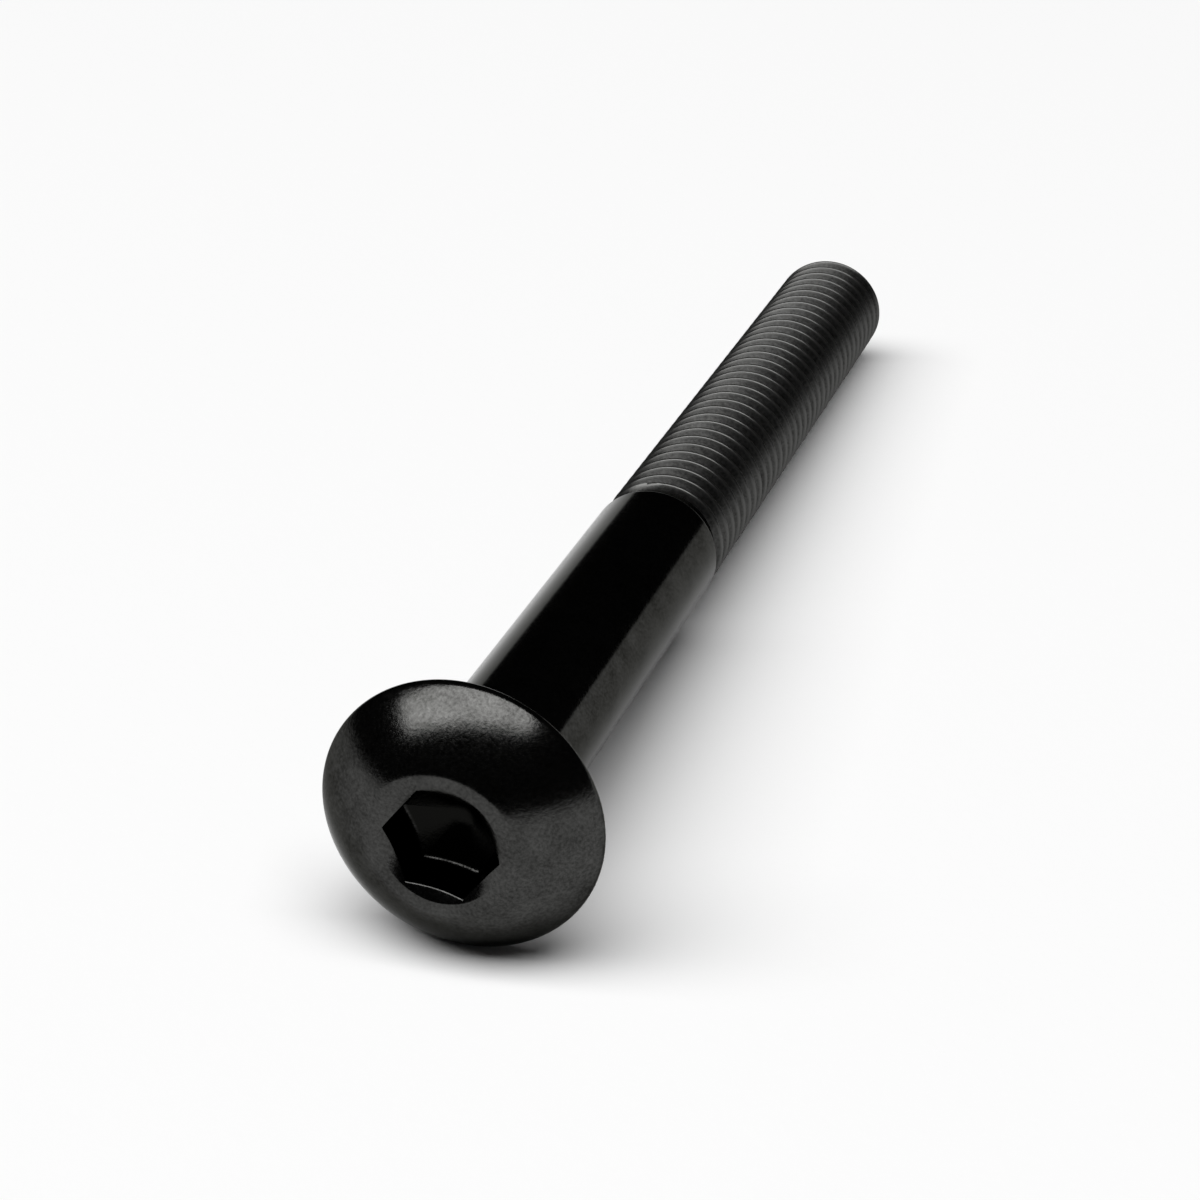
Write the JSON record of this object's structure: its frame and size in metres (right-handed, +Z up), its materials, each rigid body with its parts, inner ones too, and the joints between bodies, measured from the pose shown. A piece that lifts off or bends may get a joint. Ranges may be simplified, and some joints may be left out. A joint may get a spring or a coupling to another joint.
{
  "type": "button head socket screw",
  "caption": "Partly threaded machine screw with a low domed button head, driven by a hex key and clamping through a clearance hole; black oxide steel.",
  "frame": {"origin": "centre of the bearing face under the head, on the screw's axis, from which the screw's length is measured", "axes": "+Z up with the screw lying at rest on the rim of its head and the last crest of its thread; seen from above, +X runs along the screw from the head to the tip, and its axis dips 2.67 degrees below +X"},
  "size_m": [0.0315, 0.0056, 0.0057],
  "materials": {
    "black_oxide_steel": "satin"
  },
  "bodies": {
    "root": {"screw": "black_oxide_steel"}
  },
  "joints": []
}
